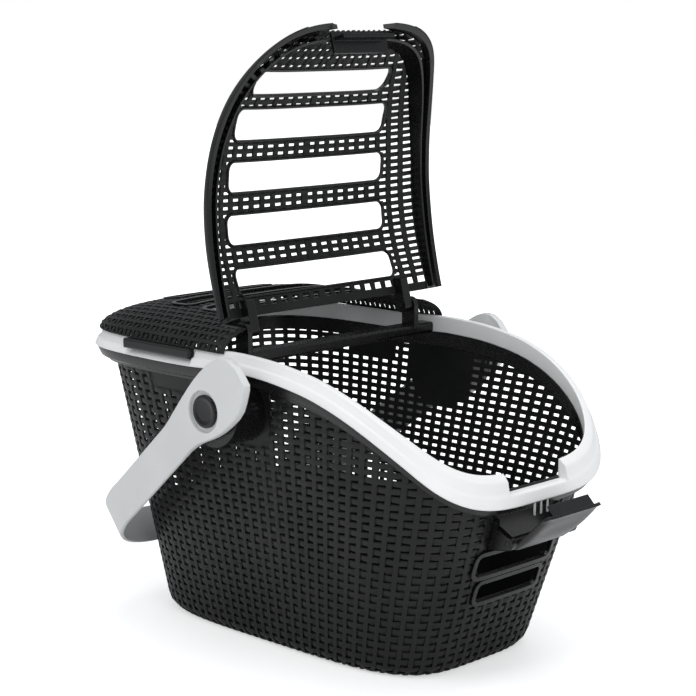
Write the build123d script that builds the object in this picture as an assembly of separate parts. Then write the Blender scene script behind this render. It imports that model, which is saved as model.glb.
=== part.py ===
from build123d import *
import math
import os

# Small pet carrier: tapered basket, collar, domed rear cover and a hinged domed lid.
# Millimetres. +X is the front, +Z is up, and the base rests on z = 0.

# Collar
RIM_HALF_LENGTH = 255.0
RIM_HALF_WIDTH = 165.0
RIM_REAR_POWER = 5.5
RIM_FRONT_POWER = 3.8
RIM_HEIGHT = 17.2
RIM_THICK = 14.6
RIM_STEP = 4.0
RIM_CURVE = [(-300, 284.5), (-255, 284.5), (-160, 284.5), (-60, 284.5), (10, 286.6), (70, 281.9),
             (120, 270.8), (165, 250.9), (205, 223.2), (235, 194.1), (255, 175.2), (275, 158.0)]
LATCH_HALF_WIDTH = 44.0

# Basket
WALL = 3.0
BASE_REAR = -198.0
BASE_FRONT = 184.0
BASE_HALF_WIDTH = 109.0
BASE_POWER = 4.1
TOP_INSET = 11.0
TOP_POWER = 4.6
FLANGE_DEPTH = 11.0
FLANGE_OUT = 4.0

# Rear cover and lid
CROWN_RISE = 30.0
SHELL_THICK = 2.8
SHELL_INSET = 5.0
COVER_FRONT = -40.0
WING_FRONT = -11.0
COVER_SLOTS = [(-204, -182, 68), (-157, -129, 97), (-103, -75, 103)]
HINGE_X = -23.0
HINGE_Z = 318.0
LID_OPEN_DEG = 104.7
LID_REAR = -9.0
LID_CURVE = [(-12, 322.0), (10, 325.5), (36, 329.5), (62, 330.5), (100, 324.5), (128, 315.5),
             (150, 308.0), (180, 295.0), (205, 277.5), (225, 255.0), (240, 230.0), (250, 208.0),
             (258, 188.0)]

# Handle
PIVOT_X = -1.0
PIVOT_Z = 252.0
PIVOT_Y = 191.0
PIN_R = 6.0
CAP_R = 18.4
BOSS_R = 36.0
REACH = 283.0
BAND = 40.0
BAND_THICK = 4.0
HEAD_THICK = 9.0
GRIP_HALF = 167.0
HANDLE_REST_DEG = 38.3
CORNER_R = 98.0

# Latch
LATCH_X = 252.0
LATCH_Z = 142.0
LATCH_LENGTH = 51.0
LATCH_OPEN_DEG = 46.0

HINGE_PIN_R = 3.0
RUN_GAP = 0.05


def edge_radius(theta, back, front, half_width, rear_power, front_power):
    """Distance from the centre to a rounded-rectangle outline in one direction."""
    c = math.cos(theta)
    s = math.sin(theta)
    half_length = front if c >= 0 else back
    power = front_power if c >= 0 else rear_power
    return (abs(c / half_length) ** power + abs(s / half_width) ** power) ** (-1 / power)


def rim_outline(inset, count=32):
    points = []
    for i in range(count):
        theta = 2 * math.pi * (i + 0.5) / count
        r = edge_radius(theta, RIM_HALF_LENGTH - inset, RIM_HALF_LENGTH - inset,
                        RIM_HALF_WIDTH - inset, RIM_REAR_POWER, RIM_FRONT_POWER)
        points.append((r * math.cos(theta), r * math.sin(theta)))
    return points


def closed_face(points, height=0.0):
    wire = Wire([Edge.make_spline([Vector(x, y, height) for x, y in points], periodic=True)])
    return Face(wire)


def rim_prism(inset, bottom, top):
    face = closed_face(rim_outline(inset), bottom)
    return Solid.extrude(face, Vector(0, 0, top - bottom))


def curve_edge(shift, table):
    """Smooth curve in the middle plane through the table's points, shifted up."""
    return Edge.make_spline([Vector(x, 0, z + shift) for x, z in table])


def band(low_shift, high_shift, table=RIM_CURVE, half=230.0):
    """Solid between two copies of a curve, running right across the carrier."""
    first = table[0]
    last = table[-1]
    low = curve_edge(low_shift, table)
    high = curve_edge(high_shift, table)
    rear = Edge.make_line((first[0], 0, first[1] + low_shift), (first[0], 0, first[1] + high_shift))
    front = Edge.make_line((last[0], 0, last[1] + low_shift), (last[0], 0, last[1] + high_shift))
    face = Face(Wire([low, front, high, rear]))
    return Solid.extrude(face.moved(Location((0, half, 0))), Vector(0, -2 * half, 0))


def rim_height(x):
    """Height of the collar's lower edge, straight between the curve's points."""
    for (x0, z0), (x1, z1) in zip(RIM_CURVE, RIM_CURVE[1:]):
        if x0 <= x <= x1:
            return z0 + (z1 - z0) * (x - x0) / (x1 - x0)
    return RIM_CURVE[-1][1]


def box(x0, x1, y0, y1, z0, z1):
    return Solid.make_box(x1 - x0, y1 - y0, z1 - z0).moved(Location((x0, y0, z0)))


def cylinder_y(x, z, y0, y1, radius):
    plane = Plane(origin=(x, y0, z), z_dir=(0, 1, 0))
    return Solid.make_cylinder(radius, y1 - y0, plane)


def wall_section(z, inset, count=32):
    """Horizontal section of the tapered wall."""
    points = []
    middle = (BASE_FRONT + BASE_REAR) / 2
    half = (BASE_FRONT - BASE_REAR) / 2
    for i in range(count):
        theta = 2 * math.pi * (i + 0.5) / count
        low = edge_radius(theta, half - inset, half - inset, BASE_HALF_WIDTH - inset,
                          BASE_POWER, BASE_POWER)
        top_inset = TOP_INSET + inset
        high = edge_radius(theta, RIM_HALF_LENGTH - top_inset, RIM_HALF_LENGTH - top_inset,
                           RIM_HALF_WIDTH - top_inset, TOP_POWER, RIM_FRONT_POWER)
        bx = middle + low * math.cos(theta)
        by = low * math.sin(theta)
        tx = high * math.cos(theta)
        ty = high * math.sin(theta)
        w = z / rim_height(tx)
        points.append((bx + (tx - bx) * w, by + (ty - by) * w))
    return points


def wall_x(z, front=True):
    points = wall_section(z, 0.0)
    return max(p[0] for p in points) if front else min(p[0] for p in points)


def tapered_body(inset, bottom, top):
    """Tapered solid with straight walls and a rounded bottom edge."""
    wires = []
    for lift, pull in ((0.0, 12.0), (2.0, 7.0), (5.5, 3.2), (10.0, 1.0), (16.0, 0.0), (top - bottom, 0.0)):
        z = bottom + lift
        points = [Vector(x, y, z) for x, y in wall_section(z, inset + pull)]
        wires.append(Wire([Edge.make_spline(points, periodic=True)]))
    return Solid.make_loft(wires, True)


def rounded_slot(width, height, depth, radius):
    """Rounded bar along X with its section in YZ, centred on the origin."""
    shape = Solid.make_box(depth, width, height).moved(Location((-depth / 2, -width / 2, -height / 2)))
    return shape.fillet(radius, shape.edges().filter_by(Axis.X))


CLIP_X0 = -154.0
CLIP_X1 = -55.0
VENTS = [(115.5, 111.0, 21.0), (86.0, 91.0, 19.0)]


def make_collar():
    """White collar: one ring with a small step round it, the latch notch and the clip gaps."""
    collar = (rim_prism(0.0, 120, 330) - rim_prism(RIM_THICK, 110, 340)) & band(0.0, RIM_HEIGHT)
    step = (rim_prism(-12.0, 110, 340) - rim_prism(RIM_STEP, 100, 350)) & band(RIM_HEIGHT * 0.55, 60.0)
    collar = collar - step
    collar = collar - box(215, 300, -LATCH_HALF_WIDTH, LATCH_HALF_WIDTH, 187.5, 260)
    gap = box(CLIP_X0, CLIP_X1, RIM_HALF_WIDTH - 7.5, RIM_HALF_WIDTH + 10, 291.5, 320)
    collar = collar - gap
    collar = collar - gap.mirror(Plane.XZ)
    for y in (-9.5, 0.0, 9.5):
        collar = collar + box(251.4, 253.4, y - 1.0, y + 1.0, 162.0, 182.0)
    return collar


def make_basket():
    """Tapered shell with the flange under the collar, the front vents and the latch lugs."""
    shell = tapered_body(0.0, 0.0, 300.0) - tapered_body(WALL, WALL, 301.0)
    basket = shell & band(-320.0, 0.0)
    ring = rim_prism(FLANGE_OUT, 110, 330) - rim_prism(TOP_INSET + 1.6, 100, 340)
    basket = basket + (ring & band(-FLANGE_DEPTH, 0.0))
    for z, width, height in VENTS:
        x = wall_x(z)
        basket = basket + rounded_slot(width + 8, height + 8, 7.0, 8.0).moved(Location((x - 0.5, 0, z)))
        basket = basket - rounded_slot(width, height, 60.0, 5.0).moved(Location((x, 0, z)))
    for y0, y1 in ((-48.5, -42.6), (42.6, 48.5)):
        lug = box(wall_x(LATCH_Z) - 1.5, LATCH_X, y0, y1, LATCH_Z - 6, LATCH_Z + 6)
        basket = basket + (lug + cylinder_y(LATCH_X, LATCH_Z, y0, y1, 6.0))
    return basket - cylinder_y(LATCH_X, LATCH_Z, -60, 60, HINGE_PIN_R)


def make_boss():
    """Round boss on the left wall, with the pin that the handle turns on."""
    boss = cylinder_y(PIVOT_X, PIVOT_Z, 140.0, 184.8, BOSS_R)
    boss = boss - tapered_body(0.0, 0.0, 300.0)
    boss = boss - (rim_prism(FLANGE_OUT, 110, 340) & band(-FLANGE_DEPTH, 60.0))
    boss = boss & band(-320.0, -0.1)
    boss = boss.solids().sort_by(SortBy.VOLUME)[-1]
    return boss + cylinder_y(PIVOT_X, PIVOT_Z, 180.0, 192.0, PIN_R)


def make_cap():
    cap = cylinder_y(PIVOT_X, PIVOT_Z, 192.0, 194.8, CAP_R)
    return cap.fillet(1.5, [cap.edges().filter_by(GeomType.CIRCLE).sort_by(Axis.Y)[-1]])


RIM_TOP = 284.5 + RIM_HEIGHT


def cover_solid(inset, foot, stations):
    """Domed solid above the collar's rear: an arch at each station along it."""
    wires = []
    half_length = RIM_HALF_LENGTH - SHELL_INSET - inset
    for x in stations:
        u = min(abs(x) / half_length, 1.0)
        shape = max(1 - u ** RIM_REAR_POWER, 0.0)
        half = (RIM_HALF_WIDTH - SHELL_INSET - inset) * shape ** (1 / RIM_REAR_POWER)
        top = RIM_TOP + (CROWN_RISE - inset) * shape ** 0.54
        arch = []
        for i in range(13):
            v = math.cos(math.pi * i / 12)
            rise = (top - RIM_TOP) * (1 - abs(v) ** 4) ** 0.54
            arch.append(Vector(x, half * v, RIM_TOP + rise))
        edges = [Edge.make_spline(arch)]
        if foot > 0:
            edges.append(Edge.make_line((x, -half, RIM_TOP), (x, -half, RIM_TOP - foot)))
            edges.append(Edge.make_line((x, -half, RIM_TOP - foot), (x, half, RIM_TOP - foot)))
            edges.append(Edge.make_line((x, half, RIM_TOP - foot), (x, half, RIM_TOP)))
        else:
            edges.append(Edge.make_line((x, -half, RIM_TOP), (x, half, RIM_TOP)))
        wires.append(Wire(edges))
    return Solid.make_loft(wires, False)


def make_cover():
    """Rear cover: slotted dome with side wings that reach forward beside the lid."""
    outside = cover_solid(0.0, 0.0, [-248.5, -241, -226, -200, -150, -80, WING_FRONT])
    inside = cover_solid(SHELL_THICK, 2.0, [-244.5, -237, -223, -200, -150, -80, 0.0])
    cover = outside - inside
    cover = cover & band(RIM_HEIGHT + 0.02, RIM_HEIGHT + 60.0)
    cover = cover - box(COVER_FRONT, 20, -128, 128, 290, 345)
    for x0, x1, half in COVER_SLOTS:
        slot = Solid.make_box(x1 - x0, 2 * half, 60).moved(Location((x0, -half, 305)))
        cover = cover - slot.fillet(8.0, slot.edges().filter_by(Axis.Z))
    return cover


def make_clip():
    """Tab in the collar's gap that holds the rear cover down."""
    tab = box(CLIP_X0 + 0.6, CLIP_X1 - 0.6, RIM_HALF_WIDTH - 7.2, RIM_HALF_WIDTH + 1.2, 291.6, 301.6)
    return tab.fillet(2.0, tab.edges().filter_by(Axis.X).sort_by(Axis.Y)[-2:])


def make_frame():
    """Hinge frame: cross bar under the cover's front edge, with an ear near each end."""
    frame = box(-36, -16, -150.2, 150.2, 285.5, 297.0)
    frame = frame.fillet(3.0, frame.edges().filter_by(Axis.Y))
    for y0, y1 in ((-124, -118), (118, 124)):
        frame = frame + box(-32, -14, y0, y1, 292, HINGE_Z)
        frame = frame + cylinder_y(HINGE_X, HINGE_Z, y0, y1, 9.0)
        frame = frame - cylinder_y(HINGE_X, HINGE_Z, y0 - 1, y1 + 1, HINGE_PIN_R)
    return frame


def make_hinge_pin():
    return cylinder_y(HINGE_X, HINGE_Z, 104.0, 126.5, HINGE_PIN_R)


def lid_height(x):
    for (x0, z0), (x1, z1) in zip(LID_CURVE, LID_CURVE[1:]):
        if x0 <= x <= x1:
            return z0 + (z1 - z0) * (x - x0) / (x1 - x0)
    return LID_CURVE[-1][1]


def lid_solid(shrink, stations):
    """Domed solid of the closed lid: an arch over straight skirts at each station."""
    wires = []
    for x in stations:
        u = max(x, 0.0) / (RIM_HALF_LENGTH - 3.0 - shrink)
        shape = max(1 - u ** RIM_FRONT_POWER, 0.0)
        half = (RIM_HALF_WIDTH - SHELL_INSET - shrink) * shape ** (1 / RIM_FRONT_POWER)
        foot = rim_height(x) + RIM_HEIGHT - 1.0
        low = foot - 30.0
        top = lid_height(x) - shrink
        arch = []
        for i in range(13):
            v = math.cos(math.pi * i / 12)
            arch.append(Vector(x, half * v, foot + (top - foot) * (1 - abs(v) ** 4) ** 0.5))
        wires.append(Wire([Edge.make_spline(arch),
                           Edge.make_line((x, -half, foot), (x, -half, low)),
                           Edge.make_line((x, -half, low), (x, half, low)),
                           Edge.make_line((x, half, low), (x, half, foot))]))
    return Solid.make_loft(wires, False)


LID_SLOTS = [(11, 38.5, 112), (63, 91.3, 112), (113.7, 141.2, 110), (162, 189.2, 106), (201.6, 220, 94)]
HINGE_AXIS = Axis((HINGE_X, 0, HINGE_Z), (0, 1, 0))


LID_STATIONS = [LID_REAR, 30, 75, 120, 165, 205, 234, 249.8]


def lid_inside():
    return lid_solid(SHELL_THICK, [LID_REAR - 3, 30, 75, 120, 165, 205, 232, 246])


def make_lid():
    """Slotted lid with its hinge arms, drawn closed and swung open."""
    lid = lid_solid(0.0, LID_STATIONS) - lid_inside()
    lid = lid & band(RIM_HEIGHT + 0.6, RIM_HEIGHT + 300.0)
    lip = (rim_prism(15.0, 110, 345) - rim_prism(17.2, 100, 350)) & band(RIM_HEIGHT + 0.6, RIM_HEIGHT + 22.0)
    lid = lid + ((lip & box(LID_REAR, 234, -200, 200, 100, 400)) & lid_solid(1.0, LID_STATIONS))
    lid = lid.solids().sort_by(SortBy.VOLUME)[-1]
    for x0, x1, half in LID_SLOTS:
        slot = Solid.make_box(x1 - x0, 2 * half, 160).moved(Location((x0, -half, 215)))
        lid = lid - slot.fillet(7.0, slot.edges().filter_by(Axis.Z))
    lid = lid - box(236, 300, -LATCH_HALF_WIDTH, LATCH_HALF_WIDTH, 150, 205)
    for y0, y1 in ((-117.0, -106.0), (106.0, 117.0)):
        arm = box(HINGE_X, 6, y0, y1, HINGE_Z - 6.5, HINGE_Z + 5.0)
        lid = lid + (arm + cylinder_y(HINGE_X, HINGE_Z, y0, y1, 6.5))
        lid = lid - cylinder_y(HINGE_X, HINGE_Z, y0 - 1, y1 + 1, HINGE_PIN_R + RUN_GAP)
    return lid.rotate(HINGE_AXIS, -LID_OPEN_DEG)


def make_catch():
    """Plate inside the lid's nose, where the latch hooks on."""
    shelf = box(225, 246, -38, 38, 207.5, 210.5) & lid_inside()
    catch = shelf + box(237.5, 241.0, -36, 36, 193.5, 208.5)
    return catch.rotate(HINGE_AXIS, -LID_OPEN_DEG)


def make_handle():
    """Flat band in a U with a broad head at each pivot."""
    cx = REACH - CORNER_R
    cy = GRIP_HALF - CORNER_R
    arm_y = PIVOT_Y - 1.5
    outer_line = [(-2, arm_y), (46, arm_y)]
    inner_line = [(-2, arm_y - BAND_THICK), (46, arm_y - BAND_THICK)]
    for i in range(10):
        a = math.pi / 2 * i / 9
        outer_line.append((cx + (CORNER_R + BAND_THICK) * math.sin(a), cy + (CORNER_R + BAND_THICK) * math.cos(a)))
        inner_line.append((cx + CORNER_R * math.sin(a), cy + CORNER_R * math.cos(a)))
    loop = outer_line + [(x, -y) for x, y in reversed(outer_line)]
    loop = loop + [(x, -y) for x, y in inner_line] + list(reversed(inner_line))
    face = Face(Wire.make_polygon([Vector(x, y, 0) for x, y in loop], close=True))
    bail = Solid.extrude(face.moved(Location((0, 0, -BAND / 2 - 2))), Vector(0, 0, BAND))
    head_shape = [(-48, -22), (-20, -27), (10, -33), (32, -33), (50, -29), (61, -22), (64, -12),
                  (64, 10), (42, 26), (22, 29), (-8, 28), (-26, 20), (-48, 18)]
    for side in (-1, 1):
        corners = [Vector(-a, side * (PIVOT_Y - HEAD_THICK / 2), c) for a, c in head_shape]
        head = Solid.extrude(Face(Wire.make_polygon(corners, close=True)), Vector(0, side * HEAD_THICK, 0))
        bail = bail + head
    bail = bail - cylinder_y(0, 0, -230, 230, PIN_R + RUN_GAP)
    for y in (-220.0, 191.5):
        bail = bail - cylinder_y(0, 0, y, y + 28.5, CAP_R + 0.6)
    bail = bail.rotate(Axis.Y, 180 - HANDLE_REST_DEG)
    return bail.moved(Location((PIVOT_X, 0, PIVOT_Z)))


def make_latch():
    """Lever on a pin under the notch, drawn closed and swung open."""
    lever = box(LATCH_X + 4.2, LATCH_X + 8.2, -42, 42, LATCH_Z - 4, LATCH_Z + LATCH_LENGTH)
    lever = lever.fillet(6.0, lever.edges().filter_by(Axis.X).sort_by(Axis.Z)[-2:])
    lever = lever + cylinder_y(LATCH_X, LATCH_Z, -42, 42, 5.0)
    lever = lever + box(LATCH_X, LATCH_X + 5.0, -42, 42, LATCH_Z - 3, LATCH_Z + 3)
    lever = lever + box(LATCH_X - 6.0, LATCH_X + 5.0, -30, 30, LATCH_Z + 47.8, LATCH_Z + 50.5)
    lever = lever - cylinder_y(LATCH_X, LATCH_Z, -43, 43, HINGE_PIN_R + RUN_GAP)
    return lever.rotate(Axis((LATCH_X, 0, LATCH_Z), (0, 1, 0)), LATCH_OPEN_DEG)


def make_latch_pin():
    return cylinder_y(LATCH_X, LATCH_Z, -49, 49, HINGE_PIN_R)


SINGLE = {
    "basket": make_basket,
    "rim_collar": make_collar,
    "rear_cover": make_cover,
    "hinge_frame": make_frame,
    "latch_pin": make_latch_pin,
    "lid_shell": make_lid,
    "lid_catch": make_catch,
    "handle_bail": make_handle,
    "latch_lever": make_latch,
}
PAIRED = {
    "cover_clip": make_clip,
    "pivot_boss": make_boss,
    "pivot_cap": make_cap,
    "lid_hinge_pin": make_hinge_pin,
}

os.makedirs("parts", exist_ok=True)
nodes = {name: make() for name, make in SINGLE.items()}
for name, make in PAIRED.items():
    shape = make()
    nodes[name + "_left"] = shape
    nodes[name + "_right"] = shape.mirror(Plane.XZ)
for name, shape in nodes.items():
    solids = shape.solids()
    print(name, len(solids), [round(s.volume) for s in solids], shape.is_valid)
    export_step(solids[0] if len(solids) == 1 else shape, "parts/" + name + ".step")
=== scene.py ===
import math

import bpy
import numpy as np
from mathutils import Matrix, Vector


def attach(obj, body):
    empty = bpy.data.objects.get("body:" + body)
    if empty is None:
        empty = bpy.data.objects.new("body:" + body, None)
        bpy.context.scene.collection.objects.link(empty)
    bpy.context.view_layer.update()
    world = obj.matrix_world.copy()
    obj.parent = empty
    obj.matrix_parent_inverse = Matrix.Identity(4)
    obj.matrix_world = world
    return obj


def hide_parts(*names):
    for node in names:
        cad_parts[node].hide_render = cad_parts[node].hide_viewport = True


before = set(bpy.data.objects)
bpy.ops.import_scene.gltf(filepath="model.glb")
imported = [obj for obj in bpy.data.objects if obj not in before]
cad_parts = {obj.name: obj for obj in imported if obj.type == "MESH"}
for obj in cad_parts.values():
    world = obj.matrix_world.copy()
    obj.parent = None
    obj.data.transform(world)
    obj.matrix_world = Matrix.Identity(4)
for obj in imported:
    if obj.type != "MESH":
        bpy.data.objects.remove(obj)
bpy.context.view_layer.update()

MM = 0.001

# Collar and wall dimensions, in millimetres, as in the part.
RIM_HALF_LENGTH = 255.0
RIM_HALF_WIDTH = 165.0
RIM_REAR_POWER = 5.5
RIM_FRONT_POWER = 3.8
RIM_HEIGHT = 17.2
RIM_X = np.array([-300, -255, -160, -60, 10, 70, 120, 165, 205, 235, 255, 275.0])
RIM_Z = np.array([284.5, 284.5, 284.5, 284.5, 286.6, 281.9, 270.8, 250.9, 223.2, 194.1, 175.2, 158.0])
RIM_TOP = 284.5 + RIM_HEIGHT
BASE_REAR = -198.0
BASE_FRONT = 184.0
BASE_HALF_WIDTH = 109.0
BASE_POWER = 4.1
TOP_INSET = 11.0
TOP_POWER = 4.6
PIVOT_X = -1.0
PIVOT_Z = 252.0
CROWN_RISE = 30.0
HINGE_X = -23.0
HINGE_Z = 318.0
LID_OPEN = math.radians(104.7)
LID_X = np.array([-12, 10, 36, 62, 100, 128, 150, 180, 205, 225, 240, 250, 258.0])
LID_Z = np.array([322.0, 325.5, 329.5, 330.5, 324.5, 315.5, 308.0, 295.0, 277.5, 255.0, 230.0, 208.0, 188.0])
LID_SLOTS = [(11, 38.5, 112), (63, 91.3, 112), (113.7, 141.2, 110), (162, 189.2, 106), (201.6, 220, 94)]
LID_REAR = -9.0
NOSE_END = 251.46
LID_ROWS = [5, 12, 19, 26, 33, 40, 47, 54.5, 62, 69.3, 76.7, 84, 91.3, 98.7, 106.3, 113, 120, 127, 134, 141,
            148, 155.3, 161.5, 167.7, 173.9, 180.1, 186.3, 192.4, 198.4, 204.5, 211, 217.5, 224, 230, 235.5,
            240.5, 244.5, 248.0]
SHELL_INSET = 5.0
LID_HALF_LENGTH = 252.0
SHELL_HALF_WIDTH = 160.0
LID_LIFT = 0.4
NOTCH_HALF = 44.0
CLIP_X0 = -154.0
CLIP_X1 = -55.0
LATCH_X = 252.0
LATCH_Z = 142.0
LATCH_OPEN = math.radians(46.0)
HANDLE_REST = math.radians(38.3)
PIVOT_Y = 191.0
CAP_RECESS_R = 20.4
REACH = 283.0
GRIP_HALF = 167.0
CORNER_R = 98.0
BLIND_BELOW = 112.0
COVER_SLOTS = [(-204, -182, 68), (-157, -129, 97), (-103, -75, 103)]
VENTS = [(115.5, 111.0, 21.0), (86.0, 91.0, 19.0)]
VENT_CORNER = 5.0
SLOT_CORNER = 8.0

# Weave: height of one cell and how far strands and ribs stand out.
CELL_V = 8.0
RELIEF = 1.5


# Curves and surfaces

def smooth_curve(xs, zs, x):
    """Cubic curve through the points, with slopes from their neighbours."""
    slopes = np.gradient(zs, xs)
    x = np.clip(x, xs[0], xs[-1])
    i = np.clip(np.searchsorted(xs, x) - 1, 0, len(xs) - 2)
    h = xs[i + 1] - xs[i]
    t = (x - xs[i]) / h
    a = (1 + 2 * t) * (1 - t) ** 2 * zs[i] + t * (1 - t) ** 2 * h * slopes[i]
    b = t * t * (3 - 2 * t) * zs[i + 1] + t * t * (t - 1) * h * slopes[i + 1]
    return a + b


def rim_z(x):
    return smooth_curve(RIM_X, RIM_Z, np.asarray(x, float))


def outline(theta, half_length, half_width, rear_power, front_power):
    c = np.cos(theta)
    s = np.sin(theta)
    power = np.where(c >= 0, front_power, rear_power)
    r = (np.abs(c / half_length) ** power + np.abs(s / half_width) ** power) ** (-1 / power)
    return r * c, r * s


def rim_outline(theta, inset):
    """Outline of the collar, drawn in by the inset."""
    return outline(theta, RIM_HALF_LENGTH - inset, RIM_HALF_WIDTH - inset, RIM_REAR_POWER, RIM_FRONT_POWER)


def even_angles(count, half_length, half_width, rear_power, front_power):
    """Angles whose points are evenly spaced along the outline."""
    theta = np.linspace(-math.pi, math.pi, 4001)
    x, y = outline(theta, half_length, half_width, rear_power, front_power)
    s = np.concatenate([[0], np.cumsum(np.hypot(np.diff(x), np.diff(y)))])
    return lambda u: np.interp(np.mod(u, count) / count * s[-1], s, theta)


def wall_point(theta, s):
    """Point of the basket's outer wall: s runs up the wall from the rounded bottom edge."""
    theta, s = np.broadcast_arrays(theta, s)
    turn = 22.0
    angle = np.clip(s / turn, 0, 1) * math.pi / 2
    z = np.where(s < turn, 16.0 * (1 - np.cos(angle)), 16.0 + s - turn)
    pull = 12.0 * (1 - np.sin(angle))
    half = (BASE_FRONT - BASE_REAR) / 2
    bx, by = outline(theta, half - pull, BASE_HALF_WIDTH - pull, BASE_POWER, BASE_POWER)
    bx = bx + (BASE_FRONT + BASE_REAR) / 2
    tx, ty = outline(theta, RIM_HALF_LENGTH - TOP_INSET - pull, RIM_HALF_WIDTH - TOP_INSET - pull,
                     TOP_POWER, RIM_FRONT_POWER)
    w = z / rim_z(tx)
    return np.stack([bx + (tx - bx) * w, by + (ty - by) * w, z], -1)


def arch_angle(count, height, half):
    """Angles that space points evenly over an arch of this height and half width."""
    a = np.linspace(-math.pi / 2, math.pi / 2, 2001)
    y = half * np.sign(np.sin(a)) * np.abs(np.sin(a)) ** 0.5
    z = height * np.cos(a)
    s = np.concatenate([[0], np.cumsum(np.hypot(np.diff(y), np.diff(z)))])
    return lambda u: np.interp(u / count * s[-1], s, a)


def arch_point(x, a, half, foot, top, power):
    v = np.sign(np.sin(a)) * np.abs(np.sin(a)) ** 0.5
    rise = np.maximum(1 - np.abs(v) ** 4, 0) ** power
    return np.stack([x + 0 * v, half * v, foot + (top - foot) * rise], -1)


def lid_half_width(x):
    """Half width of the lid's edge in plan."""
    u = np.clip(x, 0, NOSE_END) / LID_HALF_LENGTH
    return SHELL_HALF_WIDTH * np.maximum(1 - u ** RIM_FRONT_POWER, 0) ** (1 / RIM_FRONT_POWER)


def lid_point(x, a):
    """Point of the closed lid's outer surface."""
    x, a = np.broadcast_arrays(np.asarray(x, float), np.asarray(a, float))
    half = lid_half_width(x)
    foot = rim_z(x) + RIM_HEIGHT + LID_LIFT
    top = smooth_curve(LID_X, LID_Z, x)
    return arch_point(x, a, half, foot, top, 0.5)


def cover_point(x, a):
    """Point of the rear cover's outer surface."""
    x, a = np.broadcast_arrays(np.asarray(x, float), np.asarray(a, float))
    u = np.clip(np.abs(x) / (RIM_HALF_LENGTH - SHELL_INSET), 0, 1)
    shape = np.maximum(1 - u ** RIM_REAR_POWER, 0)
    half = SHELL_HALF_WIDTH * shape ** (1 / RIM_REAR_POWER)
    top = RIM_TOP + CROWN_RISE * shape ** 0.54
    return arch_point(x, a, half, RIM_TOP + 0 * x, top, 0.54)


def lid_height(x, y):
    """Height of the closed lid above a place in plan."""
    v = np.clip(np.abs(y) / lid_half_width(x), 0, 1)
    return lid_point(x, np.arcsin(v ** 2))[..., 2]


def cover_height(x, y):
    """Height of the rear cover above a place in plan."""
    v = np.clip(np.abs(y) / SHELL_HALF_WIDTH, 0, 1)
    return cover_point(x, np.arcsin(v ** 2))[..., 2]


def swing(points):
    """Turns points of the closed lid to its open place."""
    c = math.cos(LID_OPEN)
    s = math.sin(LID_OPEN)
    dx = points[..., 0] - HINGE_X
    dz = points[..., 2] - HINGE_Z
    return np.stack([HINGE_X + dx * c - dz * s, points[..., 1], HINGE_Z + dx * s + dz * c], -1)


def normals(points, closed):
    """Unit normals of a grid of points."""
    if closed:
        du = np.roll(points, -1, 0) - np.roll(points, 1, 0)
    else:
        du = np.gradient(points, axis=0)
    dv = np.gradient(points, axis=1)
    n = np.cross(du, dv)
    length = np.linalg.norm(n, axis=-1, keepdims=True)
    return n / np.maximum(length, 1e-9)


# Meshes

def add_mesh(name, verts, faces, material, body, smooth_angle=None):
    mesh = bpy.data.meshes.new(name)
    mesh.from_pydata((np.asarray(verts) * MM).tolist(), [], faces)
    mesh.materials.append(material)
    mesh.update()
    mesh.validate()
    obj = bpy.data.objects.new(name, mesh)
    bpy.context.scene.collection.objects.link(obj)
    if smooth_angle is not None:
        mesh.shade_smooth()
        mesh.set_sharp_from_angle(angle=math.radians(smooth_angle))
    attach(obj, body)
    return obj


def shell_faces(outer, inner, mask, closed):
    """Closed shell between two grids of points, over the grid squares in the mask."""
    nu, nv = outer.shape[:2]
    verts = np.concatenate([outer.reshape(-1, 3), inner.reshape(-1, 3)])
    half = nu * nv
    cols = nu if closed else nu - 1
    faces = []
    for i in range(cols):
        j_list = np.nonzero(mask[i])[0]
        i1 = (i + 1) % nu
        before = mask[i - 1] if (closed or i > 0) else None
        after = mask[(i + 1) % cols] if (closed or i < cols - 1) else None
        for j in j_list:
            a = i * nv + j
            b = i1 * nv + j
            c = b + 1
            d = a + 1
            faces.append((a, b, c, d))
            faces.append((d + half, c + half, b + half, a + half))
            if before is None or not before[j]:
                faces.append((a, d, d + half, a + half))
            if after is None or not after[j]:
                faces.append((c, b, b + half, c + half))
            if j == 0 or not mask[i][j - 1]:
                faces.append((b, a, a + half, b + half))
            if j == nv - 2 or not mask[i][j + 1]:
                faces.append((d, c, c + half, d + half))
    return verts, faces


def tube_faces(count, n, closed):
    """Quads round a tube of count rings with n points each."""
    faces = []
    for i in range(count if closed else count - 1):
        i1 = (i + 1) % count
        for j in range(n):
            j1 = (j + 1) % n
            faces.append((i * n + j, i1 * n + j, i1 * n + j1, i * n + j1))
    return faces


def end_faces(count, n):
    """The two polygons that close an open tube."""
    return [tuple(range(n)), tuple(range(count * n - 1, count * n - n - 1, -1))]


def prism(name, ring, y0, y1, turn, material, body):
    """Outline of (x, z) places drawn out between two widths."""
    pts = np.array([(x, y, z) for y in (y0, y1) for x, z in ring], float)
    n = len(ring)
    faces = [tuple(range(n)), tuple(range(2 * n - 1, n - 1, -1))]
    faces += [(i, (i + 1) % n, (i + 1) % n + n, i + n) for i in range(n)]
    return add_mesh(name, turn(pts) if turn else pts, faces, material, body, 30)


def used_only(verts, faces):
    used = np.zeros(len(verts), bool)
    for f in faces:
        used[list(f)] = True
    index = np.cumsum(used) - 1
    return verts[used], [tuple(int(index[k]) for k in f) for f in faces]


U_LINES = (-0.19, 0.0, 0.19, 0.24, 0.5, 0.76)
V_LINES = (-0.31, 0.0, 0.31, 0.5)


def weave_lines(count_u, count_v, closed):
    """Positions of the grid lines, in cells, and each one's place in its cell."""
    u = np.array([i + f for i in range(count_u) for f in U_LINES])
    v = np.array([j + f for j in range(count_v) for f in V_LINES])
    if not closed:
        u = np.concatenate([u, [count_u - 0.19, count_u]])
    return u, v


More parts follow.
